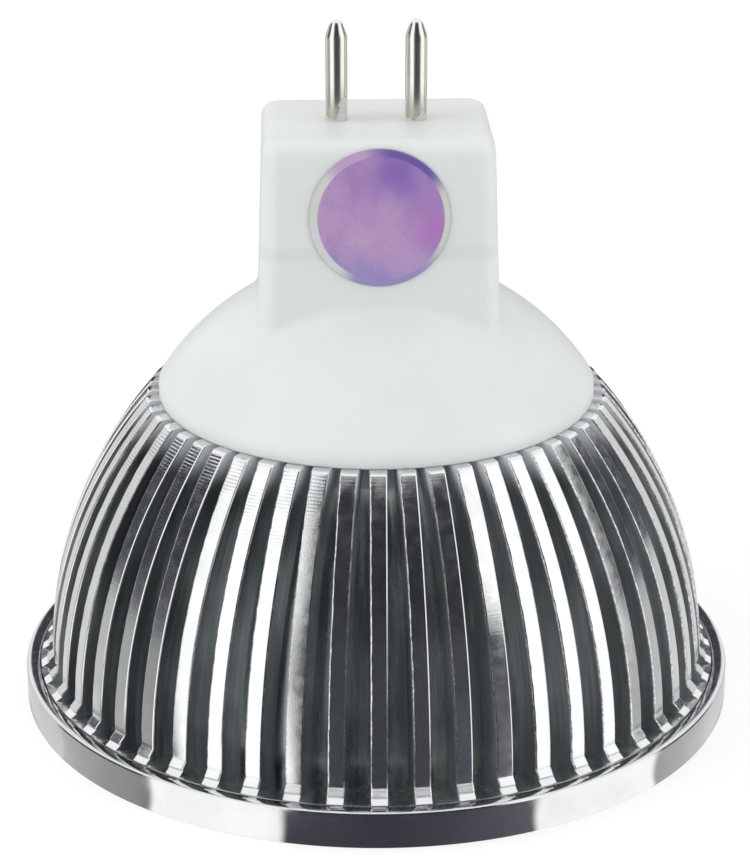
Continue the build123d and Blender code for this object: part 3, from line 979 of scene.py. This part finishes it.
# Solids kept from the frame: smooth faces and their own materials
def make_smoothing():
    """Node group that welds a solid's facets and smooths all but its sharp edges."""
    group = bpy.data.node_groups.new("smooth_facets", "GeometryNodeTree")
    for way in ("INPUT", "OUTPUT"):
        group.interface.new_socket("Geometry", in_out=way, socket_type="NodeSocketGeometry")
    start = group.nodes.new("NodeGroupInput")
    end = group.nodes.new("NodeGroupOutput")
    weld = add_node(group, "GeometryNodeMergeByDistance", {"Geometry": start.outputs[0], "Distance": 1e-6})
    angle = add_node(group, "GeometryNodeInputMeshEdgeAngle")
    limits = {0: angle.outputs["Unsigned Angle"], 1: math.radians(30)}
    flat = add_node(group, "FunctionNodeCompare", limits, operation="LESS_EQUAL")
    smooth_edges = {"Geometry": weld.outputs[0], "Shade Smooth": flat.outputs[0]}
    edges = add_node(group, "GeometryNodeSetShadeSmooth", smooth_edges, domain="EDGE")
    smooth_faces = {"Geometry": edges.outputs[0], "Shade Smooth": True}
    faces = add_node(group, "GeometryNodeSetShadeSmooth", smooth_faces, domain="FACE")
    group.links.new(faces.outputs[0], end.inputs[0])
    return group


smoothing = make_smoothing()


def dress(node_names, material):
    """Material and smooth shading for solids that stay as they are."""
    for node_name in node_names:
        solid = nodes[node_name]
        solid.data.materials.clear()
        solid.data.materials.append(material)
        solid.modifiers.new("smooth", "NODES").node_group = smoothing


def make_lens_plastic(name):
    """Clear acrylic with a faint ripple on its faces."""
    material, tree, shader = start_material(name, Roughness=0.02, IOR=1.49, Transmission_Weight=1.0)
    ripple = noise_at(tree, place_mm(tree), 0.5, detail=1.0)
    colour = ramp(tree, ripple, (0.94, 0.96, 0.97), (0.97, 0.98, 0.98))
    connect(tree, shader, Base_Color=colour, Normal=bump(tree, ripple, 0.01))
    return material


def make_emitter_finish(name):
    """White ceramic base under a yellow phosphor dome."""
    material, tree, shader = start_material(name, Roughness=0.3)
    place = place_mm(tree)
    _, _, z = axes_of(tree, place)
    base_top = board_front - emitter_base_height
    phosphor = map_range(tree, z, base_top + emitter_joint_blur, base_top - emitter_joint_blur)
    grain = noise_at(tree, place, 4.0)
    ceramic = ramp(tree, grain, (0.78, 0.78, 0.75), (0.86, 0.86, 0.83))
    glow = ramp(tree, grain, (0.85, 0.58, 0.06), (0.92, 0.70, 0.12))
    colour = mix(tree, phosphor, ceramic, glow)
    connect(tree, shader, Base_Color=colour, Normal=bump(tree, grain, 0.01))
    return material


# Finishes of the inner parts: name, two colours, grains to the millimetre, roughness, depth, and solids
packages = ["driver_ic", "bridge_rectifier", "freewheel_diode"]
speckled_finishes = [
    ("white_mask", (0.76, 0.77, 0.75), (0.82, 0.83, 0.81), 3.0, 0.4, 0.004, ["led_board"]),
    ("grey_pad", (0.34, 0.36, 0.38), (0.42, 0.44, 0.46), 2.0, 0.8, 0.02, ["thermal_pad"]),
    ("green_mask", (0.02, 0.16, 0.06), (0.03, 0.22, 0.09), 2.0, 0.4, 0.006, ["driver_board"]),
    ("package_black", (0.02, 0.02, 0.022), (0.04, 0.04, 0.045), 9.0, 0.6, 0.006, packages),
    ("resistor_glaze", (0.03, 0.03, 0.035), (0.05, 0.05, 0.06), 6.0, 0.25, 0.004, ["sense_resistors"]),
    ("chip_ceramic", (0.36, 0.26, 0.17), (0.44, 0.32, 0.22), 6.0, 0.5, 0.006, ["output_capacitor"]),
    ("ferrite", (0.05, 0.05, 0.055), (0.09, 0.09, 0.095), 8.0, 0.7, 0.01, ["inductor"]),
    ("can_sleeve", (0.02, 0.03, 0.10), (0.03, 0.05, 0.14), 3.0, 0.3, 0.004, ["input_capacitor"]),
    ("red_insulation", (0.50, 0.02, 0.02), (0.60, 0.04, 0.03), 3.0, 0.45, 0.006, ["led_wire_red"]),
    ("black_insulation", (0.02, 0.02, 0.02), (0.04, 0.04, 0.04), 3.0, 0.45, 0.006, ["led_wire_black"]),
]
for *finish, node_names in speckled_finishes:
    dress(node_names, make_speckled(*finish))
screw_finish = ("screw_steel", (0.55, 0.55, 0.55), (0.68, 0.68, 0.67), 4.0, 0.28, 0.004)
dress(["board_screws", "base_screws"], make_speckled(*screw_finish, Metallic=1.0))
dress(["led_emitter_1", "led_emitter_2", "led_emitter_3"], make_emitter_finish("emitter"))
dress(["lens_array"], make_lens_plastic("clear_acrylic"))


# Stage: a pale floor, a white surround, and cards that only reflections see
def light_path_shown(tree):
    """One for rays that show the background: from the camera, a mirror or a clear solid."""
    path = add_node(tree, "ShaderNodeLightPath")
    seen = math_node(tree, "MAXIMUM", path.outputs["Is Camera Ray"], path.outputs["Is Glossy Ray"])
    return math_node(tree, "MAXIMUM", seen, path.outputs["Is Transmission Ray"])


def make_stage_object(name, points, faces, material):
    """Object of the stage, in metres."""
    mesh = bpy.data.meshes.new(name)
    mesh.from_pydata(points, [], faces)
    mesh.materials.append(material)
    made = add_object(name, mesh)
    return made


def bare_tree(holder):
    """Empty node tree of a material or a world."""
    holder.use_nodes = True
    holder.node_tree.nodes.clear()
    return holder.node_tree


def make_floor():
    """Pale floor that keeps the lamp's shadow."""
    material = bpy.data.materials.new("pale_floor")
    tree = bare_tree(material)
    lit = add_node(tree, "ShaderNodeBsdfDiffuse", {"Color": (0.34, 0.34, 0.34, 1)})
    plain = add_node(tree, "ShaderNodeBsdfDiffuse", {"Color": (0.80, 0.80, 0.80, 1)})
    glow = add_node(tree, "ShaderNodeEmission", {"Color": (1, 1, 1, 1), "Strength": floor_glow})
    shown = add_node(tree, "ShaderNodeAddShader", {0: lit.outputs[0], 1: glow.outputs[0]})
    seen = light_path_shown(tree)
    mixed = add_node(tree, "ShaderNodeMixShader", {0: seen, 1: plain.outputs[0], 2: shown.outputs[0]})
    add_node(tree, "ShaderNodeOutputMaterial", {"Surface": mixed.outputs[0]})
    corners = [(x * floor_reach, y * floor_reach, 0) for x, y in ((-1, -1), (1, -1), (1, 1), (-1, 1))]
    make_stage_object("floor", corners, [(0, 1, 2, 3)], material)


def make_card_material():
    """Glow of the cards: each point's own tone, the dark ones a little blue."""
    material = bpy.data.materials.new("card_tone")
    tree = bare_tree(material)
    tone = add_node(tree, "ShaderNodeAttribute", attribute_name="tone").outputs["Fac"]
    tint = ramp(tree, tone, (0.70, 0.74, 1.0), (1.0, 1.0, 0.98), 0.0, 0.3)
    glow = add_node(tree, "ShaderNodeEmission", {"Color": tint, "Strength": tone})
    add_node(tree, "ShaderNodeOutputMaterial", {"Surface": glow.outputs[0]})
    return material


card_material = make_card_material()


def soft_step(value):
    """Smooth step from 0 to 1 over a strip's soft edge."""
    share = min(max((value / strip_softness + 1) / 2, 0), 1)
    return share**2 * (3 - 2 * share)


def strip_tone(direction, gap_rise, rise=0.0):
    """Tone in a direction: the strips, and between them dark gaps that get paler to the sides."""
    tone = gap_low + (gap_high - gap_low) * rise + gap_rise * (direction / gap_side) ** 2
    for first, last, first_lean, last_lean, strip in strips:
        after_first = soft_step(direction - first - first_lean * rise)
        before_last = soft_step(last + last_lean * rise - direction)
        tone += (strip - tone) * after_first * before_last
    return tone


def make_card(name, rows, columns, place, tone):
    """Card that only mirrors see, over rows and columns that place puts in space and tone lights."""
    across = len(columns)
    points, tones, faces = [], [], []
    for row in rows:
        points += [place(row, column) * MM for column in columns]
        tones += [tone(row, column) for column in columns]
    for row in range(len(rows) - 1):
        for column in range(across - 1):
            low = row * across + column
            faces.append((low, low + 1, low + across + 1, low + across))
    card = make_stage_object(name, points, faces, card_material)
    card.data.attributes.new("tone", "FLOAT", "POINT").data.foreach_set("value", tones)
    for ray in ("camera", "diffuse", "transmission", "shadow"):
        setattr(card, f"visible_{ray}", False)


card_steps = round(card_reach / card_step)
card_columns = [card_step * index for index in range(-card_steps, card_steps + 1)]


def place_under_ring(reach, direction):
    """Point on the floor that the ring mirrors: under its lower edge, or at a distance from it."""
    foot = math.radians(camera_turn + direction)
    turn = math.radians(camera_turn + 2 * direction)
    near = Vector(polar(rim_radius + min(reach, 0), foot, floor_card_lift))
    return near + Vector(polar(max(reach, 0), turn, 0))


def place_round_fins(height, direction):
    """Point far away that the fins' outer edge mirrors at a height."""
    turn = math.radians(camera_turn + direction)
    radius = bowl_radius(height, 0)
    on_fin = Vector(polar(radius, turn, height))
    facing = Vector(polar(radius - bowl_centre_radius, turn, height - bowl_centre_height)).normalized()
    return on_fin + card_distance * (on_fin - camera_place).normalized().reflect(facing)


def place_behind(height, across):
    """Point behind the lamp at a height, where the flange mirrors it."""
    turn = math.radians(camera_turn + 180)
    straight_behind = Vector(polar(back_card_distance, turn, height))
    return straight_behind + Vector(polar(across, turn + math.pi / 2, 0))


def fin_tone(height, direction):
    """Tone for the fins, whose gaps get darker over the bowl's middle."""
    rise = min(max((height - fin_tone_low) / (fin_tone_high - fin_tone_low), 0), 1)
    return strip_tone(direction, low_gap_rise + (high_gap_rise - low_gap_rise) * rise, rise)


def ring_tone(reach, direction):
    """Tone for the ring, the same at any distance."""
    return strip_tone(direction, ring_gap_rise)


def back_card_tone(height, across):
    """Tone of the card behind the lamp, the same all over."""
    return back_tone


def make_surround():
    """White world that fills the shadows with a little less light than it shows."""
    world = bpy.data.worlds.new("surround")
    bpy.context.scene.world = world
    tree = bare_tree(world)
    fill = add_node(tree, "ShaderNodeBackground", {"Color": (1, 1, 1, 1), "Strength": fill_strength})
    white = add_node(tree, "ShaderNodeBackground", {"Color": (1, 1, 1, 1), "Strength": 1.0})
    seen = light_path_shown(tree)
    mixed = add_node(tree, "ShaderNodeMixShader", {0: seen, 1: fill.outputs[0], 2: white.outputs[0]})
    add_node(tree, "ShaderNodeOutputWorld", {"Surface": mixed.outputs[0]})


fin_card_rise = (deck - fin_card_low) / fin_card_steps
fin_card_rows = [fin_card_low + fin_card_rise * step for step in range(fin_card_steps + 1)]
make_floor()
make_surround()
make_card("ring_card", (-ring_edge, card_distance), card_columns, place_under_ring, ring_tone)
make_card("back_card", back_card_heights, back_card_sides, place_behind, back_card_tone)
make_card("fin_card", fin_card_rows, card_columns, place_round_fins, fin_tone)


# Lights: a softbox on each side and one in front
def make_softbox(name, direction, elevation, size, power):
    """Area light aimed at the lamp, in a direction from the camera's side."""
    light = bpy.data.lights.new(name, "AREA")
    light.shape = "RECTANGLE"
    light.size, light.size_y = size
    light.energy = power
    lamp = add_object(name, light)
    turn, lift = math.radians(camera_turn + direction), math.radians(elevation)
    away = Vector(polar(math.cos(lift), turn, math.sin(lift)))
    target = Vector((0, 0, cap_top / 2 * MM))
    lamp.location = target + away * softbox_distance
    lamp.rotation_euler = away.to_track_quat("Z", "Y").to_euler()
    lamp.visible_glossy = False


make_softbox("left_softbox", direction=-75, elevation=35, size=(0.30, 0.42), power=0.62)
make_softbox("right_softbox", direction=75, elevation=15, size=(0.30, 0.42), power=0.47)
make_softbox("front_softbox", direction=5, elevation=8, size=(0.30, 0.30), power=0.10)


def make_camera():
    """Camera at the photograph's viewpoint."""
    data = bpy.data.cameras.new("camera")
    data.sensor_width = sensor_size
    data.lens = focal_length_pixels * sensor_size / image_height_pixels
    data.clip_start = camera_clip_start
    camera = add_object("camera", data)
    camera.location = camera_place * MM
    camera.rotation_euler = (math.radians(90 - camera_pitch), 0, math.radians(camera_yaw))
    bpy.context.scene.camera = camera


make_camera()
bpy.context.scene.view_settings.view_transform = "Standard"
